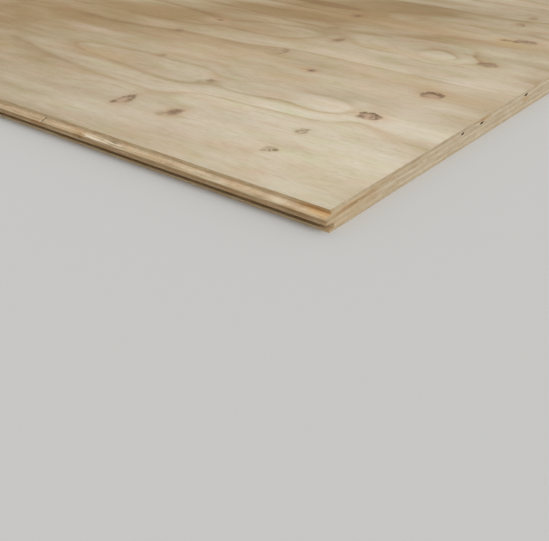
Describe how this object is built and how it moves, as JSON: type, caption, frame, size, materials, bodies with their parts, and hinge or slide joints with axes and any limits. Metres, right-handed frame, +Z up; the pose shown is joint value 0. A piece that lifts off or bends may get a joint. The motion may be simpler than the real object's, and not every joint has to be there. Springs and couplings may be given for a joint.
{
  "type": "plywood sheet",
  "caption": "Rectangular softwood plywood sheet of crossed veneers, with a tongue planed on one long edge and a matching groove on the other.",
  "frame": {"origin": "middle of the underside of the sheet", "axes": "+X along the face grain and the tongued edge, +Y across the sheet towards the groove, +Z up out of the face"},
  "size_m": [2.44, 1.22, 0.018],
  "materials": {
    "face_veneer": "sanded rotary-cut pine face, raw",
    "back_veneer": "rough rotary-cut pine back, raw",
    "core_veneer": "sawn pine veneer, grain along the sheet",
    "crossband": "sawn pine veneer, grain across the sheet"
  },
  "bodies": {
    "root": {"back_veneer": "back_veneer", "lower_crossband": "crossband", "lower_core_veneer": "core_veneer", "centre_crossband": "crossband", "upper_core_veneer": "core_veneer", "upper_crossband": "crossband", "face_veneer": "face_veneer"}
  },
  "joints": []
}
